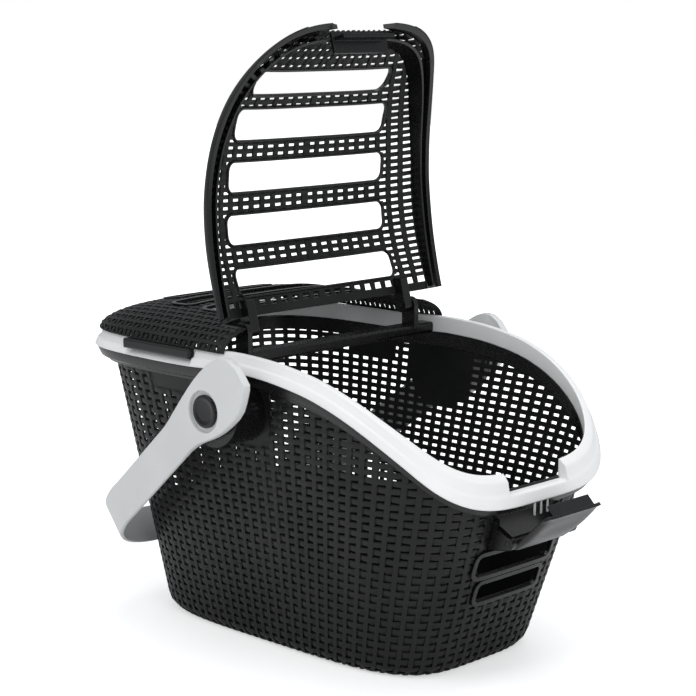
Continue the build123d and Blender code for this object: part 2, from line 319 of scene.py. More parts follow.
def weave_relief(u, v):
    """Height of the woven surface: strands and ribs pass over each other by turns."""
    iu = np.floor(u + 0.25)
    fu = u - iu
    jv = np.floor(v + 0.4)
    fv = v - jv
    on_rib = np.abs(fu) < 0.21
    strand_row = np.abs(fv) < 0.34
    even = (np.mod(iu + jv, 2) == 0)
    across = np.clip((fu - 0.24) / 0.52, 0, 1)
    mid = np.where(even, 1 - across, across)
    strand = 0.25 + 0.75 * np.sin(mid * math.pi / 2)
    height = np.where(on_rib, 1.0, strand)
    height = np.where(on_rib & strand_row & (np.abs(fu) < 0.1), height + 0.12, height)
    height = np.where(strand_row & (np.abs(fv) < 0.1), height + 0.18, height)
    height = np.where(on_rib & ~strand_row, 0.9, height)
    return height


def hole_mask(u, v):
    """True at the centre of a cell's hole."""
    fu = u - np.floor(u)
    fv = v - np.floor(v)
    return (np.abs(fu - 0.5) < 0.30) & (np.abs(fv - 0.5) < 0.19)


def woven_shell(place, count_u, count_v, closed, keep, plain, thickness):
    """Perforated woven shell. place maps cell positions to points, keep and plain pick squares."""
    u, v = weave_lines(count_u, count_v, closed)
    uu, vv = np.meshgrid(u, v, indexing="ij")
    base = place(uu, vv)
    n = normals(base, closed)
    flat = plain(uu, vv, base)
    height = np.where(flat, 0.35, weave_relief(uu, vv)) * RELIEF
    outer = base + n * (height[..., None] - 0.6)
    inner = base - n * thickness
    u_next = np.append(u[1:], u[0] + count_u) if closed else u[1:]
    cu = (u + u_next) / 2 if closed else (u[:-1] + u_next) / 2
    cv = (v[:-1] + v[1:]) / 2
    cuu, cvv = np.meshgrid(cu, cv, indexing="ij")
    centre = place(cuu, cvv)
    mask = keep(cuu, cvv, centre)
    mask &= ~(hole_mask(cuu, cvv) & ~plain(cuu, cvv, centre))
    verts, faces = shell_faces(outer, inner, mask, closed)
    return used_only(verts, faces)


def near_slots(points, slots, radius, margin):
    """True within the margin of a rounded slot given by its two x places and half width."""
    inside = np.zeros(points.shape[:-1], bool)
    for x0, x1, half in slots:
        dx = np.maximum(np.abs(points[..., 0] - (x0 + x1) / 2) - ((x1 - x0) / 2 - radius), 0)
        dy = np.maximum(np.abs(points[..., 1]) - (half - radius), 0)
        inside |= np.hypot(dx, dy) < radius + margin
    return inside


def strip(place, loop_count, widths, heights, thickness):
    """Closed band that follows a loop on a surface. place(t, w) gives points."""
    t = np.arange(loop_count) / loop_count
    tt, ww = np.meshgrid(t, np.array(widths, float), indexing="ij")
    base = place(tt, ww)
    n = normals(base, True)
    outer = base + n * np.array(heights)[None, :, None]
    inner = base - n * thickness
    mask = np.ones((loop_count, len(widths) - 1), bool)
    return shell_faces(outer, inner, mask, True)


def rounded_rect(t, half_a, half_b, radius):
    """Point on a rounded rectangle's outline at t in 0..1, with its outward direction."""
    t = np.asarray(t, float)
    la = 2 * (half_a - radius)
    lb = 2 * (half_b - radius)
    arc = math.pi * radius / 2
    lengths = np.array([lb, arc, la, arc, lb, arc, la, arc])
    ends = np.concatenate([[0], np.cumsum(lengths)])
    s = np.mod(t, 1.0) * ends[-1]
    i = np.clip(np.searchsorted(ends, s, side="right") - 1, 0, 7)
    f = (s - ends[i]) / np.maximum(lengths[i], 1e-9)
    quarter = i // 2
    turn = np.where(i % 2 == 1, f, 0) * math.pi / 2 + quarter * math.pi / 2
    corner_a = np.array([1, -1, -1, 1])[quarter] * (half_a - radius)
    corner_b = np.array([1, 1, -1, -1])[quarter] * (half_b - radius)
    da = np.cos(turn)
    db = np.sin(turn)
    a = corner_a + radius * da
    b = corner_b + radius * db
    straight = i % 2 == 0
    back = np.where(straight, (1 - f), 0)
    a = a - np.where(straight, np.array([0, -la, 0, la])[quarter] * back, 0)
    b = b - np.where(straight, np.array([lb, 0, -lb, 0])[quarter] * back, 0)
    return a, b, da, db


# Materials

def node_material(name, colour, roughness, spread=0.25, grain=900.0, bump=0.12, bevel=0.0,
                  specular=0.4, warm=None, coat=0.0):
    """Moulded plastic: faint cloudy colour, fine grain, and softened edges."""
    m = bpy.data.materials.new(name)
    m.use_nodes = True
    nodes = m.node_tree.nodes
    links = m.node_tree.links
    nodes.clear()
    out = nodes.new("ShaderNodeOutputMaterial")
    shader = nodes.new("ShaderNodeBsdfPrincipled")
    links.new(shader.outputs[0], out.inputs[0])
    place = nodes.new("ShaderNodeTexCoord")
    cloud = nodes.new("ShaderNodeTexNoise")
    cloud.inputs["Scale"].default_value = 14.0
    cloud.inputs["Detail"].default_value = 5.0
    fine = nodes.new("ShaderNodeTexNoise")
    fine.inputs["Scale"].default_value = grain
    fine.inputs["Detail"].default_value = 3.0
    links.new(place.outputs["Object"], cloud.inputs["Vector"])
    links.new(place.outputs["Object"], fine.inputs["Vector"])
    ramp = nodes.new("ShaderNodeValToRGB")
    links.new(cloud.outputs[0], ramp.inputs[0])
    low = [c * (1 - spread) for c in colour]
    high = [min(c * (1 + spread), 1.0) for c in (warm or colour)]
    ramp.color_ramp.elements[0].position = 0.35
    ramp.color_ramp.elements[0].color = (*low, 1)
    ramp.color_ramp.elements[1].position = 0.68
    ramp.color_ramp.elements[1].color = (*high, 1)
    links.new(ramp.outputs[0], shader.inputs["Base Color"])
    rough = nodes.new("ShaderNodeMapRange")
    rough.inputs["To Min"].default_value = max(roughness - 0.08, 0.05)
    rough.inputs["To Max"].default_value = roughness + 0.08
    links.new(fine.outputs[0], rough.inputs["Value"])
    links.new(rough.outputs[0], shader.inputs["Roughness"])
    shader.inputs["Specular IOR Level"].default_value = specular
    shader.inputs["Coat Weight"].default_value = coat
    shader.inputs["Coat Roughness"].default_value = 0.25
    relief = nodes.new("ShaderNodeBump")
    relief.inputs["Strength"].default_value = bump
    relief.inputs["Distance"].default_value = 0.0004
    links.new(fine.outputs[0], relief.inputs["Height"])
    if bevel > 0:
        soft = nodes.new("ShaderNodeBevel")
        soft.samples = 6
        soft.inputs["Radius"].default_value = bevel
        links.new(soft.outputs[0], relief.inputs["Normal"])
    links.new(relief.outputs[0], shader.inputs["Normal"])
    return m


weave_black = node_material("weave_black", (0.0062, 0.0066, 0.0068), 0.42, warm=(0.0095, 0.0095, 0.0092),
                            grain=420.0, bump=0.35, specular=0.3)
smooth_black = node_material("smooth_black", (0.0045, 0.0045, 0.005), 0.26, grain=700.0, bump=0.10,
                             bevel=0.0012, specular=0.5)
latch_black = node_material("latch_black", (0.006, 0.006, 0.0065), 0.27, grain=800.0, bump=0.10,
                            bevel=0.0012, specular=0.5)
white_plastic = node_material("white_plastic", (0.86, 0.865, 0.86), 0.38, spread=0.02, grain=600.0,
                              bump=0.06, bevel=0.0016)
handle_plastic = node_material("handle_plastic", (0.70, 0.71, 0.71), 0.36, spread=0.03, grain=500.0,
                               bump=0.08, bevel=0.0016)

# Basket wall

COUNT_THETA = 96
COUNT_ROWS = 37
wall_angle = even_angles(COUNT_THETA, 224.0, 136.0, 4.6, 4.0)


def basket_place(u, v):
    return wall_point(wall_angle(u), v * CELL_V)


def near_vent(points, margin):
    """True where a wall point lies within the margin of a front vent's opening."""
    inside = np.zeros(points.shape[:-1], bool)
    for z, width, height in VENTS:
        dy = np.maximum(np.abs(points[..., 1]) - (width / 2 - SLOT_CORNER), 0)
        dz = np.maximum(np.abs(points[..., 2] - z) - (height / 2 - SLOT_CORNER), 0)
        inside |= (np.hypot(dy, dz) < SLOT_CORNER + margin) & (points[..., 0] > 150)
    return inside


def smooth_wall(u, v, points):
    """Parts of the wall with no weave: under the pivots, behind the latch and below the clips."""
    x, y, z = points[..., 0], points[..., 1], points[..., 2]
    drop = np.minimum(z - PIVOT_Z + 8, 0) * 1.15
    patch = (np.hypot(x - PIVOT_X, drop) < 43) & (np.abs(y) > 100) & (z > PIVOT_Z - 40)
    latch = (x > 150) & (np.abs(y) < 50) & (z > 134)
    clip = (x > -132) & (x < -68) & (z > 253) & (np.abs(y) > 100)
    top = z > rim_z(x) - 13
    return patch | latch | clip | top | (v < 0.6) | near_vent(points, 5.0)


def wall_keep(u, v, points):
    x, z = points[..., 0], points[..., 2]
    return (z < rim_z(x) - 3.0) & ~near_vent(points, 1.5)


verts, faces = woven_shell(basket_place, COUNT_THETA, COUNT_ROWS, True, wall_keep, smooth_wall, 1.5)
basket_wall = add_mesh("basket_wall", verts, faces, weave_black, "carrier", 28)
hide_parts("basket")


# Bands that follow the collar's curve

def rim_band(name, profile, material, count=360, body="carrier"):
    """Ring whose cross section is given by (inset, height above the collar's lower edge)."""
    angle = even_angles(count, RIM_HALF_LENGTH, RIM_HALF_WIDTH, RIM_REAR_POWER, RIM_FRONT_POWER)
    theta = angle(np.arange(count))
    rings = []
    for inset, lift in profile:
        x, y = rim_outline(theta, inset)
        rings.append(np.stack([x, y, rim_z(x) + lift], -1))
    grid = np.stack(rings, 1)
    faces = tube_faces(count, len(profile), True)
    return add_mesh(name, grid.reshape(-1, 3), faces, material, body, 30)


# Collar's section: inset from the outline and height above the lower edge
COLLAR = [(0.9, 0.0), (0.2, 0.1), (0.0, 0.7), (2.4, 7.4), (2.9, 8.1), (4.1, 8.7), (4.8, 9.5), (6.9, 15.9),
          (7.4, 16.8), (8.4, 17.2), (13.2, 17.2), (14.3, 16.8), (14.6, 15.8), (14.6, 0.4), (14.2, 0.0)]


def collar_angles():
    """Even angles round the collar, with a pair of close ones at each notch and gap edge."""
    fine = np.linspace(-math.pi, math.pi, 20001)
    rim = (RIM_HALF_LENGTH, RIM_HALF_WIDTH, RIM_REAR_POWER, RIM_FRONT_POWER)
    x, y = outline(fine, *rim)
    angles = list(even_angles(420, *rim)(np.arange(420)))
    marks = []
    for value, coordinate, where in ((NOTCH_HALF, y, x > 0), (-NOTCH_HALF, y, x > 0),
                                     (CLIP_X0, x, y > 0), (CLIP_X1, x, y > 0),
                                     (CLIP_X0, x, y < 0), (CLIP_X1, x, y < 0)):
        cross = np.nonzero((np.diff(np.sign(coordinate - value)) != 0) & where[:-1])[0]
        marks += [fine[c] for c in cross]
    angles = [a for a in angles if all(abs(a - m) > 0.003 for m in marks)]
    for m in marks:
        angles += [m - 0.0006, m + 0.0006]
    return np.sort(np.array(angles))


def make_collar():
    """Collar with the latch notch in front and a seat for each side clip."""
    theta = collar_angles()
    x0, y0 = outline(theta, RIM_HALF_LENGTH, RIM_HALF_WIDTH, RIM_REAR_POWER, RIM_FRONT_POWER)
    in_gap = (x0 > CLIP_X0) & (x0 < CLIP_X1)
    in_notch = (np.abs(y0) < NOTCH_HALF) & (x0 > 0)
    rings = []
    for inset, lift in COLLAR:
        pull = np.where(in_gap & (lift > 7.0), max(inset, 7.6), inset)
        x, y = rim_outline(theta, pull)
        z = rim_z(x) + lift
        sill = 187.5 - (1.6 if inset < 5 else 0.0)
        z = np.where(in_notch, np.minimum(z, sill), z)
        rings.append(np.stack([x, y, z], -1))
    grid = np.stack(rings, 1)
    faces = tube_faces(len(theta), len(COLLAR), True)
    return add_mesh("collar_ring", grid.reshape(-1, 3), faces, white_plastic, "carrier", 32)


def block(name, low, high, material, body, turn=None):
    """Rectangular bar between two corners."""
    pts = [(x, y, z) for x in (low[0], high[0]) for y in (low[1], high[1]) for z in (low[2], high[2])]
    pts = np.array(pts, float)
    if turn is not None:
        pts = turn(pts)
    faces = [(0, 1, 3, 2), (4, 6, 7, 5), (0, 4, 5, 1), (2, 3, 7, 6), (0, 2, 6, 4), (1, 5, 7, 3)]
    obj = add_mesh(name, pts, faces, material, body)
    soften = obj.modifiers.new("soften", "BEVEL")
    soften.width = 0.0006
    soften.segments = 2
    return obj


collar_ring = make_collar()
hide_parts("rim_collar")
for number, y_mid in enumerate((-9.5, 0.0, 9.5)):
    block("collar_rib_%d" % (number + 1), (251.4, y_mid - 1.0, 162.0), (253.4, y_mid + 1.0, 178.0),
          white_plastic, "carrier")

FLANGE = [(1.6, -0.2), (1.6, -1.2), (4.2, -8.0), (5.2, -10.4), (6.8, -11.6), (10.0, -12.6), (11.4, -15.5),
          (15.4, -15.5), (15.4, -0.2)]
rim_band("basket_flange", FLANGE, smooth_black)

# Lining behind the blind cells of the lower wall
lining_angle = even_angles(160, 224.0, 136.0, 4.6, 4.0)
lining_u, lining_v = np.meshgrid(np.arange(160), np.linspace(0.0, BLIND_BELOW + 6.0, 24), indexing="ij")
lining_base = wall_point(lining_angle(lining_u), lining_v)
lining_normal = normals(lining_base, True)
lining_mask = np.ones((160, 23), bool)
lining_mid = wall_point(lining_angle(lining_u + 0.5), lining_v + 2.5)[:, :-1]
lining_mask &= ~near_vent(lining_mid, 1.0)
lining_outer = lining_base - lining_normal * 1.1
lining_inner = lining_base - lining_normal * 2.4
verts, faces = shell_faces(lining_outer, lining_inner, lining_mask, True)
verts, faces = used_only(verts, faces)
add_mesh("basket_lining", verts, faces, weave_black, "carrier", 30)

# Floor of the basket
floor_angles = even_angles(120, 191.0, 109.0, BASE_POWER, BASE_POWER)(np.arange(120))
rings = []
for shrink, height in ((0.0, 0.4), (0.5, 0.0), (1.0, 0.0), (1.0, 3.0), (0.0, 3.0)):
    half = (BASE_FRONT - BASE_REAR) / 2 - 12
    x, y = outline(floor_angles, half, BASE_HALF_WIDTH - 12, BASE_POWER, BASE_POWER)
    scale = 1 - shrink * 0.98
    rings.append(np.stack([x * scale - 7, y * scale, 0 * x + height], -1))
grid = np.stack(rings, 1)
add_mesh("basket_floor", grid.reshape(-1, 3), tube_faces(120, 5, True), smooth_black, "carrier",
         30)


# Raised rims of the front vents
def front_wall_x(y, z):
    """Outer wall position at the front for a given width and height."""
    theta = np.linspace(-1.2, 1.2, 481)
    zz = np.unique(np.round(np.ravel(z), 3))
    table = {}
    for h in zz:
        s = h - 16 + 22
        p = wall_point(theta, np.full_like(theta, s))
        table[h] = (p[:, 1], p[:, 0])
    flat_z = np.round(np.ravel(z), 3)
    flat_y = np.ravel(y)
    x = [np.interp(yy, *table[h]) for yy, h in zip(flat_y, flat_z)]
    return np.array(x).reshape(np.shape(y))


for number, (z_mid, width, height) in enumerate(VENTS):
    def vent_place(t, w, z_mid=z_mid, width=width, height=height):
        a, b, da, db = rounded_rect(t, width / 2, height / 2, VENT_CORNER)
        y = a + da * w
        z = z_mid + b + db * w
        return np.stack([front_wall_x(y, z), y, z], -1)

    verts, faces = strip(vent_place, 120, (0.0, 0.6, 3.4, 4.4), (0.6, 1.8, 1.8, 0.2), 3.2)
    add_mesh("vent_rim_%d" % (number + 1), verts, faces, smooth_black, "carrier", 40)

# Lugs of the latch, part of the basket
for side in (-1, 1):
    lug_x0 = 226.0
    ring = [(lug_x0, 132.0), (lug_x0 + 14, 133.5)]
    for k in range(13):
        a = -math.pi / 2 + math.pi * k / 12
        ring.append((LATCH_X + 6.4 * math.cos(a), LATCH_Z + 6.4 * math.sin(a)))
    ring += [(238.0, 156.0), (238.0, 162.0), (lug_x0, 162.0)]
    prism("latch_lug_left" if side > 0 else "latch_lug_right", ring, 42.6 * side, 48.5 * side, None,
          smooth_black, "carrier")


# Rear cover

def along(xs, point, spacing):
    """Positions along a shell's crown that are evenly spaced on its surface."""
    p = point(xs, np.zeros_like(xs))
    s = np.concatenate([[0], np.cumsum(np.linalg.norm(np.diff(p, axis=0), axis=1))])
    rows = int(round(s[-1] / spacing))
    return rows, (lambda v: np.interp(v / rows * s[-1], s, xs))


cover_rows, cover_x = along(np.linspace(-11.0, -249.9, 1200), cover_point, CELL_V * 0.92)
COVER_COLS = 34
cover_arch = arch_angle(COVER_COLS, CROWN_RISE, SHELL_HALF_WIDTH)


def cover_place(u, v):
    return cover_point(cover_x(np.clip(v, 0, cover_rows)), cover_arch(np.clip(u, 0, COVER_COLS)))


def near_cover_slot(points, margin):
    return near_slots(points, COVER_SLOTS, SLOT_CORNER, margin)


def cover_keep(u, v, points):
    front = (points[..., 0] > -41.5) & (np.abs(points[..., 1]) < 129.5)
    return ~front & ~near_cover_slot(points, 1.5)


def cover_plain(u, v, points):
    front = (points[..., 0] > -46) & (np.abs(points[..., 1]) < 134)
    return front | (points[..., 0] > -18) | near_cover_slot(points, 4.5)


verts, faces = woven_shell(cover_place, COVER_COLS, cover_rows, False, cover_keep, cover_plain, 1.4)
cover_shell = add_mesh("cover_shell", verts, faces, weave_black, "carrier", 28)
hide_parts("rear_cover")


for number, (x0, x1, half_y) in enumerate(COVER_SLOTS):
    def slot_place(t, w, x0=x0, x1=x1, half_y=half_y):
        a, b, da, db = rounded_rect(t, (x1 - x0) / 2, half_y, SLOT_CORNER)
        x = (x0 + x1) / 2 + a + da * w
        y = b + db * w
        return np.stack([x, y, cover_height(x, y)], -1)

    verts, faces = strip(slot_place, 160, (0.0, 0.6, 3.2, 4.2), (0.2, 1.4, 1.4, -0.2), 2.2)
    add_mesh("cover_slot_rim_%d" % (number + 1), verts, faces, smooth_black, "carrier",
             40)

# Lid

lid_rows = len(LID_ROWS)
row_steps = np.concatenate([[0.0], np.arange(lid_rows) + 0.5, [lid_rows]])
row_places = np.concatenate([[LID_REAR], LID_ROWS, [NOSE_END]])
LID_COLS = 22


def lid_x(v):
    """Place along the closed lid of a row position."""
    return np.interp(v, row_steps, row_places)


lid_arch = arch_angle(LID_COLS, 24.0, SHELL_HALF_WIDTH)


def lid_place_closed(u, v):
    return lid_point(lid_x(np.clip(v, 0, lid_rows)), lid_arch(np.clip(u, 0, LID_COLS)))


def near_lid_slot(points, margin):
    return near_slots(points, LID_SLOTS, SLOT_CORNER, margin) & (points[..., 2] > 190)


def lid_keep(u, v, points):
    notch = (points[..., 0] > 236) & (np.abs(points[..., 1]) < NOTCH_HALF) & (points[..., 2] < 205)
    return ~near_lid_slot(points, 1.0) & ~notch


def lid_plain(u, v, points):
    edge = (u < 0.75) | (u > LID_COLS - 0.75)
    nose = (points[..., 2] < 212) & (points[..., 0] > 200)
    return edge | nose | near_lid_slot(points, 2.6) | (points[..., 0] < 1)


verts, faces = woven_shell(lid_place_closed, LID_COLS, lid_rows, False, lid_keep, lid_plain, 1.4)
lid_shell = add_mesh("lid_shell_woven", swing(verts), faces, weave_black, "lid", 28)
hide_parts("lid_shell")

for number, (x0, x1, half_y) in enumerate(LID_SLOTS):
    def lid_slot_place(t, w, x0=x0, x1=x1, half_y=half_y):
        a, b, da, db = rounded_rect(t, (x1 - x0) / 2, half_y, SLOT_CORNER)
        x = (x0 + x1) / 2 + a + da * w
        y = b + db * w
        return np.stack([x, y, lid_height(x, y)], -1)

    verts, faces = strip(lid_slot_place, 200, (0.0, 0.4, 2.0, 2.6), (0.2, 1.2, 1.2, -0.2), 2.4)
    add_mesh("lid_slot_rim_%d" % (number + 1), swing(verts), faces, smooth_black, "lid",
             40)

# Smooth border along the lid's lower edge
BORDER = [(0.0, 0.6), (3.0, 1.0), (8.0, 0.9), (9.0, 0.0), (9.0, -3.4), (3.0, -4.2), (0.0, -4.2)]
edge_x = np.concatenate([np.linspace(LID_REAR, 246.0, 200), np.linspace(246.5, NOSE_END, 40)])
edge_u = np.clip(edge_x, 0, NOSE_END) / LID_HALF_LENGTH
edge_half = lid_half_width(edge_x)
edge_foot = rim_z(edge_x) + RIM_HEIGHT + LID_LIFT
edge_rise = smooth_curve(LID_X, LID_Z, edge_x) - edge_foot
for side in (-1, 1):
    rings = []
    for depth, push in BORDER:
        d = np.minimum(depth, 0.85 * edge_rise)
        v = (1 - (d / edge_rise) ** 2) ** 0.25
        nx = edge_u ** (RIM_FRONT_POWER - 1) / LID_HALF_LENGTH
        ny = (edge_half / SHELL_HALF_WIDTH) ** (RIM_FRONT_POWER - 1) / SHELL_HALF_WIDTH
        length = np.hypot(nx, ny)
        x = edge_x + nx / length * push
        y = side * (edge_half * v + ny / length * push)
        rings.append(np.stack([x, y, np.maximum(edge_foot + d, rim_z(x) + RIM_HEIGHT + LID_LIFT)], -1))
    grid = swing(np.stack(rings, 1))
    count, n = grid.shape[:2]
    faces = tube_faces(count, n, False) + end_faces(count, n)
    add_mesh("lid_edge_left" if side > 0 else "lid_edge_right", grid.reshape(-1, 3), faces,
             smooth_black, "lid", 35)

# Hinge arms of the lid
for side in (-1, 1):
    ring = []
    for k in range(17):
        a = math.pi / 2 + math.pi * k / 16
        ring.append((HINGE_X + 6.5 * math.cos(a), HINGE_Z + 6.5 * math.sin(a)))
    ring += [(6.0, HINGE_Z - 6.5), (8.0, HINGE_Z + 5.0), (-6.0, HINGE_Z + 6.5)]
    prism("lid_arm_left" if side > 0 else "lid_arm_right", ring, 106.0 * side, 117.0 * side, swing,
          smooth_black, "lid")

# Inner lip of the lid
lip_angles = np.linspace(-math.pi, math.pi, 6001)
lx, ly = rim_outline(lip_angles, 15)
for side in (-1, 1):
    chosen = lip_angles[(lx > -8.5) & (ly * side > 38.0)][::12]
    rings = []
    for inset, high in ((15.1, False), (15.1, True), (17.1, True), (17.1, False)):
        x, y = rim_outline(chosen, inset)
        low = rim_z(x) + RIM_HEIGHT + 0.7
        roof = lid_height(x, y) - 0.8
        z = np.minimum(np.maximum(roof, low + 1.0), low + 20.0) if high else low
        rings.append(np.stack([x, y, z], -1))
    grid = swing(np.stack(rings, 1))
    count, n = grid.shape[:2]
    faces = tube_faces(count, n, False) + end_faces(count, n)
    add_mesh("lid_lip_left" if side > 0 else "lid_lip_right", grid.reshape(-1, 3), faces,
             smooth_black, "lid", 35)

# Handle: one band swept from head to head, with its two edges given along the arm
HEAD_X = np.array([-64.0, -61.5, -56, -50, -42, -32, -20, -8, 4, 14, 24, 34, 48, 70, 120])
HEAD_LOW = np.array([-11.0, -19, -25.5, -29, -31.5, -33, -33, -32, -30, -28, -26, -24.3, -22.6, -22, -22])
HEAD_HIGH = np.array([10.0, 13.5, 17.5, 21.5, 26, 28.5, 29, 28.6, 27, 24.5, 21.5, 19.5, 18.3, 18, 18])


def handle_path():
    """Stations from one head's tip round the grip to the other: outer face point and inward direction."""
    stations = []
    for x in np.linspace(-64.0, 46.0, 40):
        stations.append((x, PIVOT_Y - 1.5, 0.0, 1.0))
    cx = REACH - CORNER_R
    cy = GRIP_HALF - CORNER_R
    for f in np.linspace(0.08, 1.0, 14):
        x = 46.0 + (cx - 46.0) * f
        y = (PIVOT_Y - 1.5) + (cy + CORNER_R + 4.0 - PIVOT_Y + 1.5) * f
        stations.append((x, y, 0.0, 1.0))
    for k in range(1, 15):
        a = math.pi / 2 * k / 14
        nx = math.sin(a)
        ny = math.cos(a)
        stations.append((cx + (CORNER_R + 4) * nx, cy + (CORNER_R + 4) * ny, nx, ny))
    for y in np.linspace(cy, 0, 9)[1:]:
        stations.append((REACH + 4.0, y, 1.0, 0.0))
    return stations


def handle_rings():
    """Sections of the band: position in their own plane, and depth from the outer face."""
    rings = []
    for x, y, nx, ny in handle_path():
        low = float(np.interp(x, HEAD_X, HEAD_LOW))
        high = float(np.interp(x, HEAD_X, HEAD_HIGH))
        blend = min(max((x - 16.0) / 60.0, 0.0), 1.0)
        blend = blend * blend * (3 - 2 * blend)
        out = 6.0 * (1 - blend) if x < 100 else 0.0
        thick = 9.0 - 5.0 * blend if x < 100 else 4.0
        mid = (low + high) / 2
        half = (high - low) / 2
        round_c = min(2.0, half)
        ring = []
        for c, d in ((-half, 0.5), (-half + round_c * 0.3, 0.12), (-half + round_c, 0.0), (-half * 0.4, 0.0),
                     (half * 0.4, 0.0), (half - round_c, 0.0), (half - round_c * 0.3, 0.12), (half, 0.5),
                     (half, thick - 0.5), (half - round_c * 0.5, thick), (0.0, thick),
                     (-half + round_c * 0.5, thick), (-half, thick - 0.5)):
            depth = d * 3.0 if d < 1 and d > 0 else d
            ring.append((x + nx * (out - depth), y + ny * (out - depth), mid + c))
        rings.append(ring)
    other = [[(x, -y, c) for x, y, c in ring] for ring in reversed(rings[:-1])]
    return np.array(rings + other)


def place_handle(points):
    """Turns the handle from its own frame, arms along +X, to its rest place."""
    angle = math.pi - HANDLE_REST
    c = math.cos(angle)
    s = math.sin(angle)
    x, y, z = points[..., 0], points[..., 1], points[..., 2]
    return np.stack([PIVOT_X + x * c + z * s, y, PIVOT_Z - x * s + z * c], -1)


rings = handle_rings()
count, n = rings.shape[:2]
faces = tube_faces(count, n, False) + end_faces(count, n)
handle = add_mesh("handle_band", place_handle(rings).reshape(-1, 3), faces, handle_plastic, "handle",
                  35)
for side in (-1, 1):
    bpy.ops.mesh.primitive_cylinder_add(vertices=96, radius=CAP_RECESS_R * MM, depth=12.0 * MM,
                                        location=(PIVOT_X * MM, side * (191.6 + 6.0) * MM, PIVOT_Z * MM),
                                        rotation=(math.pi / 2, 0, 0))
    cutter = bpy.context.object
    cut = handle.modifiers.new("recess", "BOOLEAN")
    cut.operation = "DIFFERENCE"
    cut.object = cutter
    cut.solver = "EXACT"
    evaluated = handle.evaluated_get(bpy.context.evaluated_depsgraph_get())
    shaped = bpy.data.meshes.new_from_object(evaluated)
    handle.modifiers.clear()
    handle.data = shaped
    bpy.data.objects.remove(cutter)
handle.data.materials.clear()
handle.data.materials.append(handle_plastic)
handle.data.shade_smooth()
handle.data.set_sharp_from_angle(angle=math.radians(35))
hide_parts("handle_bail")

# Pivot caps: a dished button in each recess, given by its radius and its distance from the middle
CAP = [(0.01, 194.0), (9.0, 194.1), (11.2, 194.3), (12.0, 194.9), (14.4, 195.0), (15.6, 194.6),
       (16.0, 193.8), (16.0, 191.4), (0.01, 191.4)]
for side in (-1, 1):
    rings = []
    for radius, height in CAP:
        a = np.linspace(0, 2 * math.pi, 72, endpoint=False)
        rings.append(np.stack([PIVOT_X + radius * np.cos(a), np.full_like(a, side * height),
                               PIVOT_Z + radius * np.sin(a)], -1))
    grid = np.stack(rings, 1)
    n = grid.shape[1]
    faces = []
    for i in range(72):
        for j in range(n - 1):
            i1 = (i + 1) % 72
            faces.append((i * n + j, i1 * n + j, i1 * n + j + 1, i * n + j + 1))
    cap = add_mesh("cap_left" if side > 0 else "cap_right", grid.reshape(-1, 3), faces, smooth_black,
                   "carrier", 35)
    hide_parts("pivot_cap_left" if side > 0 else "pivot_cap_right")


# Latch lever: curved plate on a barrel, with a hook inside its upper edge

def open_latch(points):
    """Turns points of the closed latch to its open place."""
    c = math.cos(LATCH_OPEN)
    s = math.sin(LATCH_OPEN)
    dx = points[..., 0] - LATCH_X
    dz = points[..., 2] - LATCH_Z
    return np.stack([LATCH_X + dx * c + dz * s, points[..., 1], LATCH_Z - dx * s + dz * c], -1)


across = np.array([-42.0, -41.6, -40, -37.5, -34, -26, -16, -6, 6, 16, 26, 34, 37.5, 40, 41.6, 42.0])
up = np.array([-5.0, -4.0, 0, 6, 12, 18, 24, 30, 36, 41, 45, 48.5, 50.5, 51.0])
aa, uu = np.meshgrid(across, up, indexing="ij")
side_turn = np.clip((np.abs(aa) - 34.0) / 8.0, 0, 1) ** 2
swell = 2.6 * np.sin(np.clip((uu + 5) / 56.0, 0, 1) * math.pi)
hollow = -1.6 * np.exp(-((uu - 26) / 11.0) ** 2) * (1 - np.clip(np.abs(aa) / 40.0, 0, 1) ** 2)
lip = 2.2 * np.clip((uu - 43.0) / 8.0, 0, 1) ** 2
front = LATCH_X + 6.6 + swell + hollow + lip - side_turn * (5.5 - 3.5 * np.clip(uu / 50.0, 0, 1))
tip_round = 1.2 * np.clip((np.abs(aa) - 36) / 6.0, 0, 1) ** 2 * np.clip((uu - 30) / 21.0, 0, 1) * 4.0
outer = np.stack([front, aa, LATCH_Z + uu - tip_round], -1)
inner = np.stack([np.maximum(front - 3.4, LATCH_X + 4.2), aa, LATCH_Z + uu - tip_round], -1)
mask = np.ones((len(across) - 1, len(up) - 1), bool)
verts, faces = shell_faces(outer, inner, mask, False)
lever = add_mesh("latch_plate", open_latch(verts), faces, latch_black, "latch", 40)
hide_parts("latch_lever")
turn_ring = []
for k in range(24):
    a = 2 * math.pi * k / 24
    turn_ring.append((LATCH_X + 5.0 * math.cos(a), LATCH_Z + 5.0 * math.sin(a)))
prism("latch_barrel", turn_ring, -42.0, 42.0, open_latch, latch_black, "latch")
block("latch_hook", (LATCH_X - 6.0, -30.0, LATCH_Z + 47.8), (LATCH_X + 8.0, 30.0, LATCH_Z + 50.4),
      latch_black, "latch", open_latch)

# Materials of the carried-over parts
looks = {"rim_collar": white_plastic, "handle_bail": handle_plastic, "latch_lever": latch_black}
for node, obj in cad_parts.items():
    material = looks.get(node, smooth_black)
    if obj.material_slots:
        for s in obj.material_slots:
            s.material = material
    else:
        obj.data.materials.append(material)

